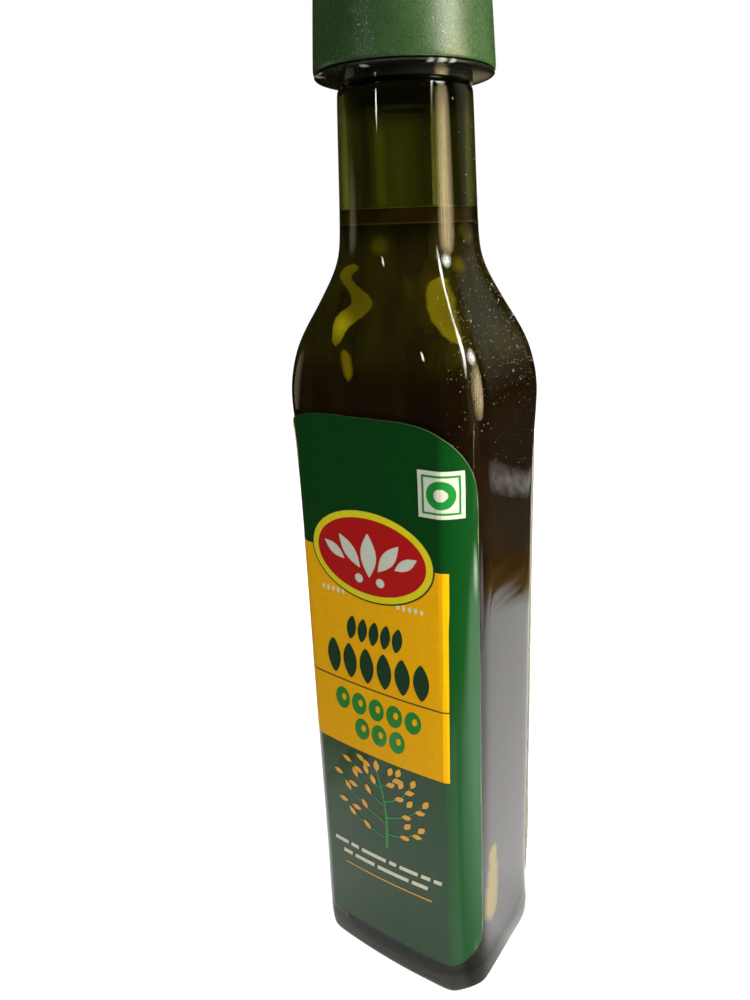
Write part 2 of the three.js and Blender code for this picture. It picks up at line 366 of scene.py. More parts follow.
def bottle_glass_look():
    """Green glass: even over the oil; on the neck above it, painted streaks of light, and painted shade at
    its edges and under the cap; nearly black at the base, painted shade.
    """
    material, tree, surface = new_material("bottle_glass_look")
    # painted streaks of light on the neck
    streaks = effect(tree, "grain", Scale=210.0, Detail=4.0, Stretch=(1.0, 1.0, 0.05))
    patches = effect(tree, "grain", Scale=70.0, Detail=2.0, Stretch=(1.0, 1.0, 0.5))
    neck = mixed(tree, streaks, GLASS["neck_dim"], GLASS["neck_lit"])
    neck = mixed(tree, times(tree, streaks, patches), neck, GLASS["neck_light_streak"])
    # painted shade where the neck turns from the view
    slant = add_node(tree, "ShaderNodeLayerWeight")
    side = spread(tree, slant.outputs["Facing"], 0.0, 1.0, *EDGE_SHADE_SLANT)
    neck = mixed(tree, side, neck, GLASS["neck_edge_shade"])
    # painted shade at the lip, under the cap
    neck = mixed(tree, by_height(tree, *LIP_SHADE), neck, GLASS["lip_shade"])
    clouds = effect(tree, "grain", Scale=30.0, Detail=2.0)
    body = mixed(tree, clouds, GLASS["body_deep"], GLASS["body_clear"])
    # painted shade at the base
    body = mixed(tree, by_height(tree, *BASE_SHADE), body, GLASS["base"])
    tint = by_height(tree, *NECK_TINT)
    finger_marks = effect(tree, "grain", Scale=120.0, Detail=3.0, Stretch=(1.0, 1.0, 0.25), High=0.02)
    feed(tree, surface, Base_Color=mixed(tree, tint, body, neck), Roughness=finger_marks)
    set_plain(surface, Transmission_Weight=1.0, IOR=1.5)
    absorb(tree, GLASS["inside"], density=140.0)
    return material


# ---- oil ---------------------------------------------------------------------------------
OIL = {
    "low_dark": (0.010, 0.004, 0.001),
    "low_warm": (0.026, 0.011, 0.002),
    # the shoulder's two colours are lighter and greener: painted light
    "high_dark": (0.020, 0.016, 0.001),
    "high_green": (0.050, 0.041, 0.002),
    # painted faint glints
    "faint_glint": (0.14, 0.12, 0.004),
    # painted columns of light
    "light_column": (0.036, 0.019, 0.003),
    # painted glint colours
    "lit": (0.24, 0.2, 0.003),
    "lit_strong": (0.42, 0.36, 0.008),
    "glint_tail": (0.42, 0.31, 0.006),
    "glint_lobe": (1.0, 0.88, 0.03),
    # a painted reflection on the side face
    "side_reflection": (0.52, 0.4, 0.0),
    # the band where the oil rises at the glass: painted light and shade
    "rise_dark": (0.05, 0.02, 0.008),
    "rise_warm": (0.3, 0.18, 0.07),
    "inside": (0.6, 0.5, 0.02),
}
SHOULDER_LIGHT = (0.1595, 0.1655)     # heights in metres at which the painted lighter, greener shoulder starts and is full
# heights at which the painted band of light and shade at the meniscus starts and is full
RISE_TINT = (0.1898, 0.1901)
LINE_EDGE = 0.0001                   # metres over which the painted highlight lines below start and end
# Painted highlight lines round the oil's rim: from and to in metres, and their colour.
RIM_HIGHLIGHTS = ((0.1928, 0.1940, (0.5, 0.55, 0.18)), (0.1899, 0.1902, (0.24, 0.23, 0.05)))

# Outlines of the glints painted on the oil: height, middle and half width in mm.
LEFT_GLINT = [
    (165.9, -7.4, -0.5), (167.2, -7.4, 1.1), (168.4, -7.1, 1.6), (169.6, -6.8, 2.0), (170.9, -6.1, 2.6),
    (172.2, -4.8, 3.3), (173.4, -3.3, 3.4), (174.6, -1.9, 2.9), (175.8, -1.9, 2.7), (177.1, -3.0, 2.3),
    (178.2, -4.7, 2.0), (179.3, -6.2, 1.9), (180.4, -6.6, 2.0), (182.0, -4.9, 1.9), (182.9, -4.7, -0.5)]
RIGHT_GLINT = [
    (166.9, 18.8, -0.5), (167.9, 18.1, 0.7), (169.0, 17.2, 1.2), (171.3, 15.6, 1.7), (173.5, 14.3, 1.9),
    (175.8, 13.3, 1.9), (178.1, 12.4, 1.5), (179.2, 12.3, 1.0), (180.6, 12.4, -0.5)]
TAIL_GLINT = [
    (159.0, -3.9, -0.5), (160.6, -3.8, 1.1), (163.0, -4.2, 1.6), (165.4, -4.8, 1.3), (166.8, -5.4, -0.5)]
MIDDLE_FROM, MIDDLE_TO = -10, 30     # the middles and half widths above lie between these, in mm
HALF_FROM, HALF_TO = -1, 9

# Soft painted spots on the oil, x, y, z and radius in mm: faint glints, light columns and a reflection on
# the side face.
FAINT_GLINTS = [(12.5, -0.6, 189.0, 2.2), (12.4, 0.8, 187.6, 2.4), (1.4, -12.5, 186.1, 2.2),
         (12.3, -3.4, 181.5, 2.4)]
LIGHT_COLUMNS = [(-6.8, -17.8, 155.5, 3.4), (8.2, -17.7, 155.5, 3.0), (-15.5, -16.5, 156.0, 2.4)]
SIDE_REFLECTION = [(22.9, -6.6, 38.5, 2.6), (22.9, -6.6, 33.0, 3.2), (22.9, -6.8, 27.5, 3.8),
        (22.9, -7.2, 22.5, 3.8)]
# place and reach, in metres, of a painted bright lobe in the left glint
LOBE_PLACE, LOBE_REACH = (-0.0064, -0.0155, 0.1705), (0.004, 0.004, 0.0036)


def glinting(tree, color, outline, shade, soft):
    """Lay a painted glint's colour over another inside an outline given by height."""
    coords = add_node(tree, "ShaderNodeTexCoord")
    split = add_node(tree, "ShaderNodeSeparateXYZ")
    drawn = add_node(tree, "ShaderNodeValToRGB")
    parts = add_node(tree, "ShaderNodeSeparateColor")
    low, high = outline[0][0], outline[-1][0]
    ramp = drawn.color_ramp
    ramp.interpolation = "CARDINAL"
    for z, _, _ in outline[1:-1]:
        ramp.elements.new((z - low) / (high - low))
    for element, (_, middle, half) in zip(ramp.elements, outline):
        middle_share = (middle - MIDDLE_FROM) / (MIDDLE_TO - MIDDLE_FROM)
        half_share = (half - HALF_FROM) / (HALF_TO - HALF_FROM)
        element.color = (middle_share, half_share, 0, 1)
    wire(tree,
         (coords.outputs["Object"], split.inputs[0]),
         (drawn.outputs["Color"], parts.inputs[0]),
         (spread(tree, split.outputs["Z"], 0.0, 1.0, low * MM, high * MM), drawn.inputs["Fac"]))
    mask = effect(tree, "band", Soft=soft * MM)
    wire(tree,
         (spread(tree, parts.outputs[0], MIDDLE_FROM * MM, MIDDLE_TO * MM), mask.node.inputs["Middle"]),
         (spread(tree, parts.outputs[1], HALF_FROM * MM, HALF_TO * MM), mask.node.inputs["Half"]))
    return mixed(tree, mask, color, shade)


def oil_look():
    """Dark oil with painted light: lighter and greener in the shoulder, glints, light columns and a side
    reflection, a warm band where it rises at the glass, and highlight lines round its rim.
    """
    material, tree, surface = new_material("oil_look")
    murk = effect(tree, "grain", Scale=42.0, Detail=3.0)
    streaks = effect(tree, "grain", Scale=150.0, Detail=4.0, Stretch=(1.0, 1.0, 0.06))
    low = mixed(tree, murk, OIL["low_dark"], OIL["low_warm"])
    high = mixed(tree, streaks, OIL["high_dark"], OIL["high_green"])
    # painted light: lighter, greener oil in the shoulder
    color = mixed(tree, by_height(tree, *SHOULDER_LIGHT), low, high)
    # painted faint glints
    color = spotted(tree, color, FAINT_GLINTS, OIL["faint_glint"], tall=1.0, soft=0.6)
    # painted columns of light
    color = spotted(tree, color, LIGHT_COLUMNS, OIL["light_column"], tall=2.6, soft=0.9)
    # painted glints: a tail, the left one with a painted bright lobe, and the right one
    lit = mixed(tree, murk, OIL["lit"], OIL["lit_strong"])
    color = glinting(tree, color, TAIL_GLINT, OIL["glint_tail"], soft=0.9)
    glint_lobe = effect(tree, "spot", Place=LOBE_PLACE, Reach=LOBE_REACH, Edge=0.9)
    color = glinting(tree, color, LEFT_GLINT, mixed(tree, glint_lobe, lit, OIL["glint_lobe"]), soft=0.4)
    color = glinting(tree, color, RIGHT_GLINT, lit, soft=0.4)
    # a painted reflection on the side face
    color = spotted(tree, color, SIDE_REFLECTION, OIL["side_reflection"], tall=1.5, soft=0.4)
    # painted light and shade at the meniscus
    rise = by_height(tree, *RISE_TINT)
    color = mixed(tree, rise, color, mixed(tree, murk, OIL["rise_dark"], OIL["rise_warm"]))
    # painted highlight lines round the oil's rim
    for bottom, top, shade in RIM_HIGHLIGHTS:
        line = times(tree, by_height(tree, bottom, bottom + LINE_EDGE),
                     by_height(tree, top + LINE_EDGE, top))
        color = mixed(tree, line, color, shade)
    feed(tree, surface, Base_Color=color)
    set_plain(surface, Transmission_Weight=0.3, IOR=1.1, Roughness=0.08)
    absorb(tree, OIL["inside"], density=400.0)
    return material


# ---- fitment and cap ---------------------------------------------------------------------
PLASTIC = {
    "black": (0.005, 0.006, 0.004),
    "black_worn": (0.011, 0.011, 0.009),
    # painted highlight colour
    "painted_gleam": (0.62, 0.61, 0.54),
    "pearl_dark": (0.011, 0.034, 0.009),
    "pearl_light": (0.022, 0.060, 0.016),
    "pearl_flake": (0.04, 0.092, 0.028),
}
# Painted highlights on the edge of the fitment's flange: x, y, z and radius in mm.
PAINTED_GLEAMS = [(2.0, -16.0, 216.6, 1.1), (12.9, -11.1, 216.6, 0.9), (14.3, -9.5, 216.6, 1.1),
          (15.4, -7.7, 216.6, 0.9), (-10.9, -13.2, 216.6, 1.5)]


def fitment_look():
    material, tree, surface = new_material("fitment_look")
    color = mixed(tree, effect(tree, "grain", Scale=90.0), PLASTIC["black"], PLASTIC["black_worn"])
    # painted highlights on the flange
    color = spotted(tree, color, PAINTED_GLEAMS, PLASTIC["painted_gleam"], tall=1.0, soft=0.9)
    feed(tree, surface, Base_Color=color, Roughness=effect(tree, "grain", Scale=300.0, Low=0.04, High=0.12))
    return material


def cap_look():
    """Satin green plastic with fine pearly flakes."""
    material, tree, surface = new_material("cap_look")
    flakes = effect(tree, "grain", Scale=3600.0, Detail=1.0)
    clouds = effect(tree, "grain", Scale=60.0, Detail=2.0)
    pearl = mixed(tree, flakes, PLASTIC["pearl_dark"], PLASTIC["pearl_light"])
    pearl = mixed(tree, times(tree, clouds, flakes), pearl, PLASTIC["pearl_flake"])
    satin = effect(tree, "grain", Scale=2600.0, Detail=1.0, Low=0.24, High=0.42)
    bump = add_node(tree, "ShaderNodeBump")
    set_plain(bump, Strength=0.2, Distance=0.0001)
    feed(tree, bump, Height=flakes)
    feed(tree, surface, Base_Color=pearl, Roughness=satin, Normal=bump.outputs["Normal"])
    set_plain(surface, Specular_IOR_Level=1.0)
    return material


# ---- paper, ink and dust -----------------------------------------------------------------
PAPER_DARK, PAPER_LIGHT = 0.97, 1.03     # how much the paper's tooth changes a colour
ROUGHNESS_SPAN = 0.05
GLOSS_COAT, MATT_COAT = 0.9, 0.08
DUST_DARK, DUST_LIGHT = (0.5, 0.47, 0.38), (0.9, 0.89, 0.82)


def paper_look(name, color, roughness=0.45, coat=GLOSS_COAT):
    """Coated print: the paper's fine tooth below, a clear smooth coat on top."""
    material, tree, surface = new_material(name)
    tone = effect(tree, "grain", Scale=700.0, Detail=4.0)
    dark, light = (tuple(c * share for c in color) for share in (PAPER_DARK, PAPER_LIGHT))
    finish = effect(tree, "grain", Scale=150.0,
                    Low=roughness - ROUGHNESS_SPAN, High=roughness + ROUGHNESS_SPAN)
    feed(tree, surface, Base_Color=mixed(tree, tone, dark, light), Roughness=finish)
    set_plain(surface, Specular_IOR_Level=0.06, Coat_Weight=coat, Coat_Roughness=0.07)
    return material


def dust_look():
    material, tree, surface = new_material("dust_look")
    color = mixed(tree, effect(tree, "grain", Scale=500.0), DUST_DARK, DUST_LIGHT)
    feed(tree, surface, Base_Color=color, Roughness=effect(tree, "grain", Scale=900.0, Low=0.7, High=0.95))
    return material


INKS = {
    "label_green": (0.0006, 0.043, 0.005),
    "panel_yellow": (0.71, 0.355, 0.0),
    "ink_dark_green": (0.006, 0.04, 0.016),
    "ink_leaf_green": (0.01, 0.2, 0.03),
    "ink_white": (0.52, 0.55, 0.46),
    "ink_red": (0.38, 0.005, 0.005),
    "ink_lemon": (0.62, 0.56, 0.01),
    "ink_orange": (0.68, 0.34, 0.02),
    "ink_cream": (0.62, 0.6, 0.46),
}
COATS = {"panel_yellow": MATT_COAT}      # every other ink is glossy
inks = {name: paper_look(name, color, coat=COATS.get(name, GLOSS_COAT)) for name, color in INKS.items()}
paper_edge = paper_look("paper_edge", (0.12, 0.16, 0.08), roughness=0.7, coat=0.0)
# the label's translucent paper back, also used as painted light on its printed end
paper_back_and_light = paper_look("paper_back_and_light", (0.2, 0.205, 0.17), roughness=0.8, coat=0.0)
set_plain(paper_back_and_light.node_tree.nodes["Principled BSDF"],
          Subsurface_Weight=1.0, Subsurface_Scale=0.002, Subsurface_Radius=(1, 1, 1))

# ---- bottle, oil, fitment and cap --------------------------------------------------------
SHARP = 50                           # edges that bend by more degrees than this stay sharp
OIL_GROWTH = 0.00042                 # takes the oil's skin just into the glass, in metres
OIL_TOP = 0.19305

shell = smooth_copy("bottle_glass", "bottle_shell", levels=2)
dress(shell, bottle_glass_look(), "glass", "bottle_glass")
oil = smooth_copy("olive_oil", "oil_fill", levels=2, grow=OIL_GROWTH, top=OIL_TOP)
dress(oil, oil_look(), "oil", "olive_oil")
insert = smooth_copy("pour_fitment", "pouring_insert", levels=1, crease_over=SHARP)
dress(insert, fitment_look(), "fitment", "pour_fitment")
cap = smooth_copy("screw_cap", "cap_shell", levels=2, crease_over=SHARP)
dress(cap, cap_look(), "cap", "screw_cap")

# ---- labels ------------------------------------------------------------------------------
RIM = 0.09 * MM                      # faces narrower than this are the paper's cut edge
EDGE_SLOT, BACK_SLOT = 1, 2          # a label's materials after its green
PALE_END_X, PALE_END_Y = 20 * MM, 16.5 * MM  # to the right of x and in front of y the back label's end takes pale translucent paper, on its printed face too, as painted light
LIFT = 0.45 * MM                     # the back label's end is bent off the glass by up to this
LIFT_Z = (24 * MM, 47 * MM)          # between these heights
LIFT_Y, LIFT_RUN = 12.0, 3.5         # the bend is full at this y in mm, and gone this much behind it
LIFT_RISE, LIFT_FALL = 6, 2          # how steeply the bend sets in from below and from above

labels = {}
for side in ("front", "back"):
    label = labels[side] = smooth_copy(side + "_label", "label_" + side, levels=2, crease_over=SHARP)
    dress(label, inks["label_green"], side + "_label", side + "_label")
    label.data.materials.append(paper_edge)
    spots = [v.co for v in label.data.vertices]
    for face in label.data.polygons:
        shortest = min((spots[a] - spots[b]).length for a, b in face.edge_keys)
        face.material_index = EDGE_SLOT if shortest < RIM else 0

# the back label's end: pale translucent paper, on its printed face too, as painted light
labels["back"].data.materials.append(paper_back_and_light)
for face in labels["back"].data.polygons:
    if face.center.x > PALE_END_X and face.center.y < PALE_END_Y:
        face.material_index = BACK_SLOT
for v in labels["back"].data.vertices:
    along = (v.co.z - LIFT_Z[0]) / (LIFT_Z[1] - LIFT_Z[0])
    if v.co.x > 0 and 0 < along < 1:
        out = max(0.0, 1 - (v.co.y / MM - LIFT_Y) / LIFT_RUN)
        v.co.x += LIFT * out * min(1.0, LIFT_RISE * along, LIFT_FALL * (1 - along))

# ---- laying print on the front label -----------------------------------------------------
# Each shape is drawn flat, in mm from the middle of the label's width and up from the table,
# then laid round the label and given a thickness of ink.
HALF_W, HALF_D = 25.3, 20.65         # body section in mm, as the glass has it
FACE_BOW = 0.9
CORNER_X, CORNER_Y, CORNER_EASE = 6.5, 9.0, 0.25
FRONT_STEPS, CORNER_STEPS = 3, 5
LABEL_OUT = 0.8                      # print is laid out just over the label's face
INSETS = [(9.2, 0.06), (29.95, 0.32), (60.07, 0.37), (90.04, 0.62), (120.0, 0.87), (139.9, 0.93),
          (147.97, 0.59), (153.3, 0.43)]     # height, and how far the body is set in there
SCORE = 0.7                          # print is scored this close, so that it bends with the label
INK = 0.03                           # thickness of the ink
LEAF_CURVE = 2.2                     # how late a leaf's sides turn in to its point
TWIG_STEPS = 8
TWIG_TAPER = 0.6                     # share of its width that a twig loses on its way


def body_inset(z):
    """How far the body is set in at height z."""
    for (z0, i0), (z1, i1) in zip(INSETS, INSETS[1:]):
        if z <= z1:
            return i0 + (i1 - i0) * (z - z0) / (z1 - z0)
    return INSETS[-1][1]


def half_section(z):
    """The right half of the front of the body at height z, from the middle to the side face."""
    a, b = HALF_W - body_inset(z), HALF_D - body_inset(z)
    end, lead = a - CORNER_X, CORNER_EASE * CORNER_X
    p = [Vector(q) for q in ((end, -b + FACE_BOW),
                             (end + lead, -b + FACE_BOW * (1 + 2 * lead / end)),
                             (a, -(b - CORNER_Y) - CORNER_EASE * CORNER_Y),
                             (a, -(b - CORNER_Y)))]
    corner = []
    for k in range(CORNER_STEPS + 1):
        t = k / CORNER_STEPS
        corner.append(p[0] * (1 - t) ** 3 + p[1] * 3 * t * (1 - t) ** 2
                      + p[2] * 3 * t * t * (1 - t) + p[3] * t ** 3)
    front = []
    for k in range(FRONT_STEPS):
        front.append(Vector((end * k / FRONT_STEPS, -b + FACE_BOW * (k / FRONT_STEPS) ** 2)))
    return [*front, *corner, Vector((a, 0))]


def round_the_bottle(u, z):
    """Where a point drawn at u, z lies, in mm: along the front, then round the corner."""
    left, line = abs(u), half_section(z)
    for start, end in zip(line, line[1:]):
        side = end - start
        if left <= side.length or end is line[-1]:
            outward = Vector((side.y, -side.x)).normalized()
            at = start + side.normalized() * left + outward * LABEL_OUT
            return Vector((math.copysign(at.x, u), at.y, z))
        left -= side.length


def score(piece):
    """Cut flat print into narrow upright strips."""
    across = [v.co.x for v in piece.data.vertices]
    first, last = math.ceil(min(across) / (SCORE * MM)), math.floor(max(across) / (SCORE * MM))
    bpy.ops.object.mode_set(mode="EDIT")
    for k in range(first, last + 1):
        bpy.ops.mesh.select_all(action="SELECT")
        bpy.ops.mesh.bisect(plane_co=(k * SCORE * MM, 0, 0), plane_no=(1, 0, 0))
    bpy.ops.object.mode_set(mode="OBJECT")


def lay_on_label(shapes, name, ink, height):
    """Join flat shapes, wrap them onto the front label and give them a skin of ink."""
    piece = join(shapes, name)
    score(piece)
    for v in piece.data.vertices:
        v.co = round_the_bottle(v.co.x / MM, v.co.y / MM) * MM
    wrap = piece.modifiers.new("wrap", "SHRINKWRAP")
    wrap.target = labels["front"]
    wrap.wrap_method = "NEAREST_SURFACEPOINT"
    wrap.wrap_mode = "ABOVE_SURFACE"
    wrap.offset = height * MM
    skin = piece.modifiers.new("skin", "SOLIDIFY")
    skin.thickness = INK * MM
    skin.offset = 1
    choose(piece)
    for modifier in ("wrap", "skin"):
        bpy.ops.object.modifier_apply(modifier=modifier)
    dress(piece, inks[ink], "front_label")


def sheet(u0, z0, u1, z1, up=1, slant=0.0, turn=0.0):
    """A flat block; slant leans its sides by that much, turn is in degrees."""
    bpy.ops.mesh.primitive_grid_add(x_subdivisions=1, y_subdivisions=up, size=1)
    o = bpy.context.object
    for v in o.data.vertices:
        v.co.x += slant * v.co.y * (z1 - z0) / (u1 - u0)
    o.scale = ((u1 - u0) * MM, (z1 - z0) * MM, 1)
    o.rotation_euler.z = math.radians(turn)
    o.location = ((u0 + u1) / 2 * MM, (z0 + z1) / 2 * MM, 0)
    place(o)
    return o


def dab(u, z, w, h, turn=0.0, corners=24, point=0.0):
    """An oval or, with point near 1, a leaf; w and h are its full size before it is turned."""
    bpy.ops.mesh.primitive_circle_add(vertices=corners, radius=1, fill_type="NGON")
    o = bpy.context.object
    for v in o.data.vertices:
        v.co.x *= 1 - point * abs(v.co.y) ** LEAF_CURVE
    o.scale = (w / 2 * MM, h / 2 * MM, 1)
    o.rotation_euler.z = math.radians(turn)
    o.location = (u * MM, z * MM, 0)
    place(o)
    return o


def hoop(u, z, size, width, corners=40):
    """A flat ring, from its middle line's diameter and its width."""
    bpy.ops.mesh.primitive_circle_add(
        vertices=corners, radius=(size - width) / 2 * MM, location=(u * MM, z * MM, 0))
    o = bpy.context.object
    bpy.ops.object.mode_set(mode="EDIT")
    bpy.ops.mesh.select_all(action="SELECT")
    bpy.ops.mesh.extrude_edges_move()
    wider = (size + width) / (size - width)
    bpy.ops.transform.resize(value=(wider, wider, 1))
    bpy.ops.object.mode_set(mode="OBJECT")
    place(o)
    return o


def twig(u0, z0, u1, z1, bend, width):
    """A thin tapering stroke from one point to another, bowed sideways by bend."""
    o = sheet(-0.5, 0, 0.5, 1, up=TWIG_STEPS)
    run = Vector((u1 - u0, z1 - z0))
    across = Vector((run.y, -run.x)).normalized()
    for v in o.data.vertices:
        s, t = v.co.x / MM, v.co.y / MM
        aside = bend * math.sin(math.pi * t) + s * width * (1 - TWIG_TAPER * t)
        at = Vector((u0, z0)) + run * t + across * aside
        v.co = (at.x * MM, at.y * MM, 0)
    return o


# ---- printed design ----------------------------------------------------------------------
# How high the inks lie over the label, in mm, each clear of those that it crosses.
PANEL_HEIGHT, PLAIN_HEIGHT, LINE_HEIGHT, BADGE_HEIGHT = 0.03, 0.05, 0.07, 0.1
SECOND_HEIGHT, MEDAL_HEIGHT, MOTIF_HEIGHT = 0.11, 0.15, 0.19
LEAF_POINT = 0.75                    # a slender leaf, as dab draws it

# yellow panel from near the label's left edge to just into the right corner, and its rule
PANEL_SHEET = (-27.1, 68.1, 19.5, 121.5)
RULE_SHEET = (-27.0, 87.15, 21.5, 87.5)
lay_on_label([sheet(*PANEL_SHEET, up=12)], "print_panel", "panel_yellow", PANEL_HEIGHT)
lay_on_label([sheet(*RULE_SHEET)], "print_rule", "ink_dark_green", LINE_HEIGHT)

# medal: three ovals, each with its width and height, and a leafy motif
MEDAL_U, MEDAL_Z = 0.2, 121.7
OVALS = (("print_medal_line", (33.2, 22.2), "ink_dark_green", LINE_HEIGHT),
         ("print_medal_rim", (32.4, 21.4), "ink_lemon", SECOND_HEIGHT),
         ("print_medal", (29.2, 18.2), "ink_red", MEDAL_HEIGHT))
OVAL_CORNERS = 72
for name, size, ink, height in OVALS:
    lay_on_label([dab(MEDAL_U, MEDAL_Z, *size, corners=OVAL_CORNERS)], name, ink, height)

# the motif's leaves and dot: beside and over the medal's middle, width, height and lean
MIDDLE_LEAF = (0.4, 4.2, 10.5)
SIDE_LEAVES = ((5.2, 0.6, 3.2, 9.0, 38), (9.6, 0.1, 2.5, 6.6, 58))
DOT = (2.9, -5.6, 2.2)
over, w, h = MIDDLE_LEAF
motif = [dab(MEDAL_U, MEDAL_Z + over, w, h, point=LEAF_POINT)]
for s in (-1, 1):
    for beside, over, w, h, lean in SIDE_LEAVES:
        motif.append(dab(MEDAL_U + s * beside, MEDAL_Z + over, w, h, turn=-s * lean, point=LEAF_POINT))
    beside, over, size = DOT
    motif.append(dab(MEDAL_U + s * beside, MEDAL_Z + over, size, size))
lay_on_label(motif, "print_medal_motif", "ink_white", MOTIF_HEIGHT)

# five small dots on each side of the medal's foot, every second one taller
DOTS_Z, DOTS_START, DOTS_STEP, DOTS_SHIFT = 111.3, 7.6, 1.5, 0.4
DOT_WIDTH, DOT_HEIGHTS = 0.8, (1.2, 1.5)
dots = []
for s in (-1, 1):
    for k in range(5):
        u = MEDAL_U + s * (DOTS_START + DOTS_STEP * k) - DOTS_SHIFT
        dots.append(dab(u, DOTS_Z, DOT_WIDTH, DOT_HEIGHTS[k % 2]))
lay_on_label(dots, "print_small_dots", "ink_cream", PLAIN_HEIGHT)

# square badge: a white ground, a frame of four bars and a ring
BADGE_SHEET = (13.3, 133.6, 23.1, 143.8)
BARS = ((14.2, 134.5, 14.65, 142.9, 3), (21.75, 134.5, 22.2, 142.9, 3),
        (14.2, 134.5, 22.2, 134.95, 1), (14.2, 142.45, 22.2, 142.9, 1))
RING = (18.2, 138.7, 4.4, 1.7)
lay_on_label([sheet(*BADGE_SHEET, up=4)], "print_square", "ink_white", PLAIN_HEIGHT)
lay_on_label([*(sheet(*bar) for bar in BARS), hoop(*RING)],
             "print_square_lines", "ink_leaf_green", BADGE_HEIGHT)


def row(count, start, step, z):
    """Evenly spaced places at one height, from the left."""
    return [(start + step * k, z) for k in range(count)]


# rows of leaves and fruit on the panel
SMALL_LEAF, LARGE_LEAF, FRUIT, SHINE = (2.7, 6.4), (4.1, 9.4), (4.4, 6.2), (1.3, 2.0)
SMALL_POINT, LARGE_POINT = 0.35, 0.4
LEAF_LEAN, FRUIT_LEAN = -10, -8
SHINE_U, SHINE_Z = 0.5, 0.4          # where the shine sits on a fruit
small = [dab(u, z, *SMALL_LEAF, turn=LEAF_LEAN, point=SMALL_POINT) for u, z in row(5, -5.9, 3.2, 102.6)]
large = [dab(u, z, *LARGE_LEAF, point=LARGE_POINT) for u, z in row(6, -11.9, 4.95, 93.4)]
lay_on_label(small + large, "print_dark_rows", "ink_dark_green", LINE_HEIGHT)
fruit = row(5, -10.0, 5.1, 82.0) + row(3, -4.4, 5.1, 74.9)
lay_on_label([dab(u, z, *FRUIT, turn=FRUIT_LEAN) for u, z in fruit],
             "print_fruit", "ink_leaf_green", LINE_HEIGHT)
lay_on_label([dab(u + SHINE_U, z + SHINE_Z, *SHINE, turn=FRUIT_LEAN) for u, z in fruit],
             "print_fruit_shine", "panel_yellow", SECOND_HEIGHT)

# branch: one bowed stem, pairs of twigs, leaves along them
FOOT, TOP = Vector((1.4, 40.8)), Vector((-0.6, 64.5))
STEM_BEND, STEM_WIDTH = 1.2, 1.0
TWIG_BEND, TWIG_WIDTH = 1.3, 0.5
# share of the way up the stem, and where the tip is: u, and height over the twig's root
TWIGS = [(0.14, -11.5, 6.0), (0.2, 11.5, 5.5), (0.34, -12.6, 9.5), (0.42, 12.8, 8.5),
         (0.56, -9.5, 9.5), (0.62, 9.6, 8.6), (0.78, -5.2, 6.5), (0.82, 5.6, 5.6)]
LEAVES_ALONG = (0.5, 0.68, 0.86, 1.04)   # the last leaf is at the tip
LEAF, LEAF_ASIDE, LEAF_BACK, LEAF_FAN = (1.5, 3.0), 1.5, 0.3, 22
TOP_LEAF, TOP_LEAF_OVER = (1.7, 3.4), 1.2
stems = [twig(*FOOT, *TOP, STEM_BEND, STEM_WIDTH)]
leaves = [dab(TOP.x, TOP.y + TOP_LEAF_OVER, *TOP_LEAF, point=LEAF_POINT)]
for share, tip_u, rise in TWIGS:
    root = FOOT.lerp(TOP, share) + Vector((STEM_BEND * math.sin(math.pi * share), 0))
    tip = Vector((tip_u, root.y + rise))
    stems.append(twig(*root, *tip, math.copysign(TWIG_BEND, tip_u), TWIG_WIDTH))
    lean = math.degrees(math.atan2(tip.y - root.y, tip.x - root.x)) - 90
    for k, along in enumerate(LEAVES_ALONG):
        spot = root.lerp(tip, along)
        way = 1 if k % 2 else -1
        off = LEAF_ASIDE * way if k < len(LEAVES_ALONG) - 1 else 0
        leaves.append(dab(spot.x - off * LEAF_BACK, spot.y + off, *LEAF,
                          turn=lean + LEAF_FAN * way, point=LEAF_POINT))
lay_on_label(stems, "print_stems", "ink_leaf_green", LINE_HEIGHT)
lay_on_label(leaves, "print_leaves", "ink_orange", SECOND_HEIGHT)

# two rows of dashes and an underline, rising a little to the right
SLOPE = 2.0
DASH_HALF, DASH_GAP, DASH_SLANT, DASH_UP = 0.6, 1.0, 0.25, 0.5
# where a row starts, and how long its dashes are
DASH_ROWS = ((-16.2, 35.8, (4.6, 2.6, 7.8, 2.2, 5.4, 2.6, 2.2)), (-13.4, 32.6, (3.0, 6.4, 9.6, 4.6)))
UNDERLINE_SHEET = (-12.9, 29.1, 14.3, 29.5)
dashes = []
for start, base, lengths in DASH_ROWS:
    at = start
    for length in lengths:
        z = base + at * math.tan(math.radians(SLOPE)) + DASH_UP
        dashes.append(sheet(at, z - DASH_HALF, at + length, z + DASH_HALF, slant=DASH_SLANT, turn=SLOPE))
        at += length + DASH_GAP
lay_on_label(dashes, "print_lines", "ink_cream", PLAIN_HEIGHT)
lay_on_label([sheet(*UNDERLINE_SHEET, turn=SLOPE)], "print_underline", "ink_orange", PLAIN_HEIGHT)

# ---- dust on the bare glass --------------------------------------------------------------
DUST = 760
SPECK_RADIUS = 0.085 * MM
SPECK_SIZES = (0.4, 0.5, 0.55, 0.7, 0.95)
SPECK_LENGTHS = (1, 1, 1, 1.6, 2.2)
SPECK_FLAT, SPECK_SLIM = 0.6, 0.5
FIBRE_LENGTH, SPECK_SHARE = 8, 0.93      # what is no speck is a long fibre
CORNER_PULL = 0.6                        # how far a speck may lie towards a face's second corner
DUST_FACING, DUST_X, DUST_Z = 0.6, 13 * MM, 110 * MM
THIN_DUST = 0.08
THICK_Z, THICK_SPREAD = 170, 14          # dust is thickest round this height, in mm

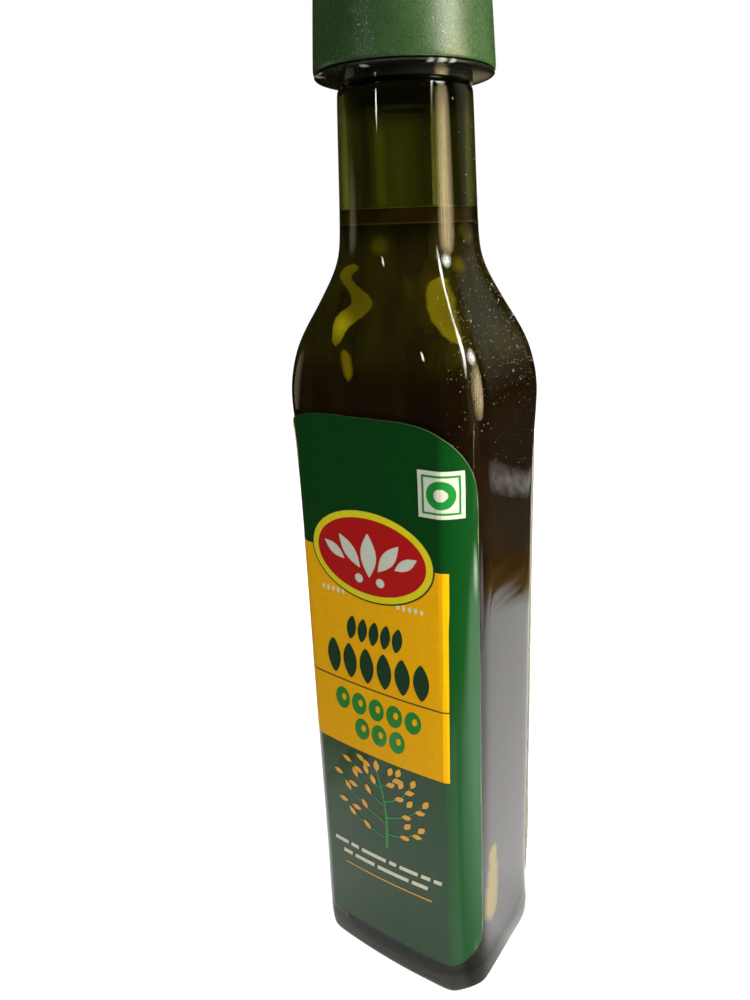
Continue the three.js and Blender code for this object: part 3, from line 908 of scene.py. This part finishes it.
bpy.ops.mesh.primitive_ico_sphere_add(subdivisions=1, radius=SPECK_RADIUS)
speck = bpy.context.object
random.seed(7)
bare = [f for f in shell.data.polygons
        if f.normal.x > DUST_FACING and f.center.x > DUST_X and f.center.z > DUST_Z]
weights = []
for f in bare:
    weights.append(f.area * (THIN_DUST + math.exp(-((f.center.z / MM - THICK_Z) / THICK_SPREAD) ** 2)))
specks = []
for face in random.choices(bare, weights=weights, k=DUST):
    copy = speck.copy()
    copy.data = speck.data.copy()
    bpy.context.collection.objects.link(copy)
    corners = [shell.data.vertices[i].co for i in face.vertices]
    across = corners[0].lerp(corners[2], random.random())
    copy.location = across.lerp(corners[1], random.random() * CORNER_PULL)
    size = random.choice(SPECK_SIZES)
    length = random.choice(SPECK_LENGTHS) if random.random() < SPECK_SHARE else FIBRE_LENGTH
    copy.scale = (size * SPECK_FLAT, size * length * SPECK_SLIM, size)
    copy.rotation_euler.x = random.uniform(0, math.pi)
    specks.append(copy)
bpy.data.objects.remove(speck)
for o in specks:
    place(o)
dust = join(specks, "dust_specks")
dress(dust, dust_look(), "glass")

# ---- floor and backdrop ------------------------------------------------------------------
FLOOR_SIZE, FLOOR_Z = 8, -0.0001
FLOOR_GREY = 0.55
FLOOR_SHOWN = 0.82                   # how bright the floor looks
WORLD_LIGHT, WORLD_SHOWN = 0.32, 1.0


def seen_straight(tree):
    """1 for camera, mirror and see-through rays."""
    rays = add_node(tree, "ShaderNodeLightPath")
    total = rays.outputs["Is Camera Ray"]
    for kind in ("Is Glossy Ray", "Is Transmission Ray"):
        either = add_math(tree, "MAXIMUM")
        wire(tree, (total, either.inputs[0]), (rays.outputs[kind], either.inputs[1]))
        total = either.outputs[0]
    return total


bpy.ops.mesh.primitive_plane_add(size=FLOOR_SIZE, location=(0, 0, FLOOR_Z))
floor = bpy.context.object
floor.name = "floor"
material, tree, surface = new_material("floor_look")
set_plain(surface, Base_Color=(FLOOR_GREY, FLOOR_GREY, FLOOR_GREY, 1), Roughness=1.0,
          Specular_IOR_Level=0.0, Emission_Color=(1, 1, 1, 1))
feed(tree, surface, Emission_Strength=spread(tree, seen_straight(tree), 0.0, FLOOR_SHOWN))
floor.data.materials.append(material)

world = bpy.data.worlds.new("studio")
bpy.context.scene.world = world
world.use_nodes = True
tree = world.node_tree
backdrop = tree.nodes["Background"]
feed(tree, backdrop, Strength=spread(tree, seen_straight(tree), WORLD_LIGHT, WORLD_SHOWN))
set_plain(backdrop, Color=(1, 1, 1, 1))


# ---- cards that only mirror reflections meet ---------------------------------------------
def mirror_card(o, name, color):
    """Make an object such a card; gives its material's tree and shader."""
    o.name = name
    material, tree, surface = new_material(name + "_look")
    set_plain(surface, Base_Color=(0, 0, 0, 1), Specular_IOR_Level=0.0, Emission_Strength=1.0,
              Emission_Color=(*color, 1))
    o.data.materials.append(material)
    for ray in ("camera", "diffuse", "transmission", "volume_scatter", "shadow"):
        setattr(o, "visible_" + ray, False)
    return tree, surface


def soft_card(name, at, turn, size, color, power, edge, streaks=0.0):
    """An oval card that fades to its rim; streaks is how much it varies across its width."""
    bpy.ops.mesh.primitive_plane_add(size=2, location=at)
    card = bpy.context.object
    card.rotation_euler = [math.radians(a) for a in turn]
    card.scale = (size[0] / 2, size[1] / 2, 1)
    tree, surface = mirror_card(card, name, color)
    stripes = effect(tree, "grain", Scale=30.0, Detail=4.0, Stretch=(1.0, 0.06, 1.0),
                     Low=power * (1 - streaks), High=power * (1 + streaks))
    feed(tree, surface, Alpha=effect(tree, "spot", Edge=edge), Emission_Strength=stripes)


def add_ramp(tree, stops, end=None):
    """A colour ramp with these stops, and with one more at its end if that has a colour."""
    n = add_node(tree, "ShaderNodeValToRGB")
    elements = n.color_ramp.elements
    for stop, shade in stops:
        elements.new(stop).color = (*shade, 1)
    elements.remove(elements[0])
    if end:
        elements[-1].color = (*end, 1)
    else:
        elements.remove(elements[-1])
    return n


SURROUND, SURROUND_RADIUS = (0.022, 0.018, 0.006), 2.5
TABLE_MIDDLE, TABLE_RADIUS = (0.03, 0.05, 0.001), 2.7
# Colours of the table top by distance from its middle in metres: pale, warm brown, then dark.
TABLE_SHADES = ((0.15, (1.0, 0.99, 0.97)), (0.167, (0.66, 0.62, 0.54)), (0.182, (0.25, 0.14, 0.045)),
                (0.217, (0.12, 0.06, 0.012)), (0.25, (0.07, 0.062, 0.045)), (0.38, (0.03, 0.027, 0.019)))
TABLE_FAR = (0.02, 0.016, 0.006)
TABLE_RAGGED = 0.016                 # how far the edges between those colours wander
# How bright it is round the bottle, a painted pool of light, by how far a place lies towards BRIGHT_WAY.
BRIGHT_WAY = math.radians(50)
TABLE_GAINS = ((0.02, 0.5), (0.12, 0.24), (0.5, 0.58), (0.74, 1.2), (0.92, 1.0))
HEEL_GAIN, OPEN_GAIN = 0.85, 1.72    # and how much brighter, from a painted shadow under the heel to the open table
HEEL_REACH = (0.018, 0.046)

bpy.ops.mesh.primitive_uv_sphere_add(segments=48, ring_count=24, radius=SURROUND_RADIUS)
mirror_card(bpy.context.object, "dark_surround", SURROUND)

bpy.ops.mesh.primitive_circle_add(vertices=96, radius=TABLE_RADIUS, fill_type="NGON", location=TABLE_MIDDLE)
tree, surface = mirror_card(bpy.context.object, "table_top", (1, 1, 1))
coords = add_node(tree, "ShaderNodeTexCoord")
away = add_vector_math(tree, "LENGTH")
ragged = add_math(tree, "ADD")
shades = add_ramp(tree, TABLE_SHADES, end=TABLE_FAR)
from_bottle = add_vector_math(tree, "ADD")
from_bottle.inputs[1].default_value = (TABLE_MIDDLE[0], TABLE_MIDDLE[1], 0)
reach = add_vector_math(tree, "LENGTH")
heading = add_vector_math(tree, "NORMALIZE")
facing = add_vector_math(tree, "DOT_PRODUCT")
facing.inputs[1].default_value = (math.cos(BRIGHT_WAY), math.sin(BRIGHT_WAY), 0)
gains = add_ramp(tree, [(stop, (level, level, level)) for stop, level in TABLE_GAINS])
wander = effect(tree, "grain", Scale=60.0, Detail=4.0, Stretch=(2.0, 0.1, 1.0),
                Low=-TABLE_RAGGED, High=TABLE_RAGGED)
wire(tree,
     (coords.outputs["Object"], away.inputs[0]),
     (away.outputs["Value"], ragged.inputs[0]),
     (wander, ragged.inputs[1]),
     (ragged.outputs[0], shades.inputs["Fac"]),
     (coords.outputs["Object"], from_bottle.inputs[0]),
     (from_bottle.outputs[0], reach.inputs[0]),
     (from_bottle.outputs[0], heading.inputs[0]),
     (heading.outputs[0], facing.inputs[0]),
     (facing.outputs["Value"], gains.inputs["Fac"]))
# painted shadow under the heel
near = spread(tree, reach.outputs["Value"], HEEL_GAIN, OPEN_GAIN, *HEEL_REACH)
feed(tree, surface, Emission_Color=shades.outputs["Color"],
     Emission_Strength=times(tree, gains.outputs["Color"], near))

# the cards that lie on the table are painted pools of light on it, seen only in reflections
# name, place, turn in degrees, size, colour, power, softness of the rim, streaks
CARDS = (
    ("far_band", (0.163, 0.371, 0.003), (0, 0, -30), (0.26, 0.062), (1.0, 0.95, 0.86), 1.1, 0.95, 0.5),
    ("near_patch", (0.19, -0.03, 0.002), (0, 0, -8), (0.3, 0.1), (0.8, 1.0, 0.82), 2.5, 0.45),
    ("mid_patch", (0.235, 0.06, 0.002), (0, 0, 12), (0.17, 0.1), (0.95, 1.0, 0.94), 1.9, 0.7),
    ("bright_patch", (0.285, -0.03, 0.003), (0, 0, -8), (0.08, 0.05), (1.0, 0.98, 0.92), 11.0, 0.8),
    ("window", (0.597, 0.067, 0.2), (90, 0, 96), (0.36, 0.5), (1.0, 0.78, 0.42), 9.5, 0.6, 0.95),
    ("window_gap", (0.598, -0.05, 0.68), (90, 15, 88), (0.07, 0.74), (1.0, 0.97, 0.9), 34.0, 0.7),
    ("window_top", (0.6, 0.06, 0.5), (90, 0, 96), (0.24, 0.22), (1.0, 1.0, 0.96), 22.0, 0.8, 0.9),
    ("left_wall", (-0.6, -0.225, 0.12), (90, 0, 290), (0.34, 0.34), (1.0, 1.0, 0.58), 0.85, 0.35, 0.2),
    ("far_right", (-0.28, 0.53, 0.12), (90, 0, 28), (0.14, 0.08), (1.0, 0.85, 0.5), 0.42, 0.9),
    ("far_left", (-0.48, 0.26, 0.002), (0, 0, 62), (0.2, 0.2), (1.0, 0.9, 0.6), 2.2, 0.8),
    ("far_glint", (-0.32, 0.41, 0.003), (0, 0, 38), (0.08, 0.05), (1.0, 1.0, 0.98), 5.0, 0.8),
    ("rear_glint", (-0.084, 0.209, 0.003), (0, 0, 22), (0.06, 0.03), (1.0, 1.0, 0.94), 5.0, 0.8),
    ("floor_line", (0.46, -0.054, 0.003), (0, 0, -7), (0.22, 0.014), (1.0, 0.92, 0.8), 5.0, 0.8),
    ("right_haze", (0.69, 0.98, 0.95), (90, 0, 145), (1.2, 1.9), (1.0, 1.0, 0.8), 0.38, 0.6),
    ("front_streak", (-0.155, -0.58, 0.35), (90, 0, -15), (0.026, 0.08), (1.0, 1.0, 0.96), 34.0, 0.6),
)
for card in CARDS:
    soft_card(*card)


# ---- lamps and camera --------------------------------------------------------------------
def lamp(name, at, aim, size, watts, color=(1, 1, 1)):
    """An area lamp that lights without showing in mirror reflections."""
    bpy.ops.object.light_add(type="AREA", location=at)
    o = bpy.context.object
    o.name = name
    o.data.shape = "RECTANGLE"
    o.data.size, o.data.size_y = size
    o.data.energy = watts
    o.data.color = color
    o.rotation_euler = (Vector(aim) - Vector(at)).to_track_quat("-Z", "Y").to_euler()
    o.visible_glossy = False


lamp("side_window", at=(0.6, 0.02, 0.26), aim=(0, 0, 0.12), size=(0.3, 0.55), watts=11.0,
     color=(1, 0.92, 0.78))
lamp("top_softbox", at=(-0.2, -0.5, 0.9), aim=(0, 0, 0.1), size=(0.6, 0.6), watts=4.25)

EYE = Vector((0.0923, -0.1397, 0.1888))
YAW, PITCH, ROLL = 34.01, 20.35, -1.89       # degrees
LENS, SHIFT_X, SHIFT_Y = 26.95, -0.0354, 0.0079
CLOSEST = 0.005

yaw, pitch, roll = math.radians(YAW), math.radians(PITCH), math.radians(ROLL)
ahead = Vector((-math.sin(yaw) * math.cos(pitch), math.cos(yaw) * math.cos(pitch), -math.sin(pitch)))
right = Vector((math.cos(yaw), math.sin(yaw), 0))
up = right.cross(ahead)
x_axis = math.cos(roll) * right + math.sin(roll) * up
y_axis = -math.sin(roll) * right + math.cos(roll) * up
bpy.ops.object.camera_add()
camera = bpy.context.object
camera.matrix_world = Matrix((
    (x_axis.x, y_axis.x, -ahead.x, EYE.x),
    (x_axis.y, y_axis.y, -ahead.y, EYE.y),
    (x_axis.z, y_axis.z, -ahead.z, EYE.z),
    (0, 0, 0, 1)))
camera.data.lens = LENS
camera.data.shift_x, camera.data.shift_y = SHIFT_X, SHIFT_Y
camera.data.clip_start = CLOSEST
bpy.context.scene.camera = camera
bpy.context.scene.view_settings.view_transform = "Standard"
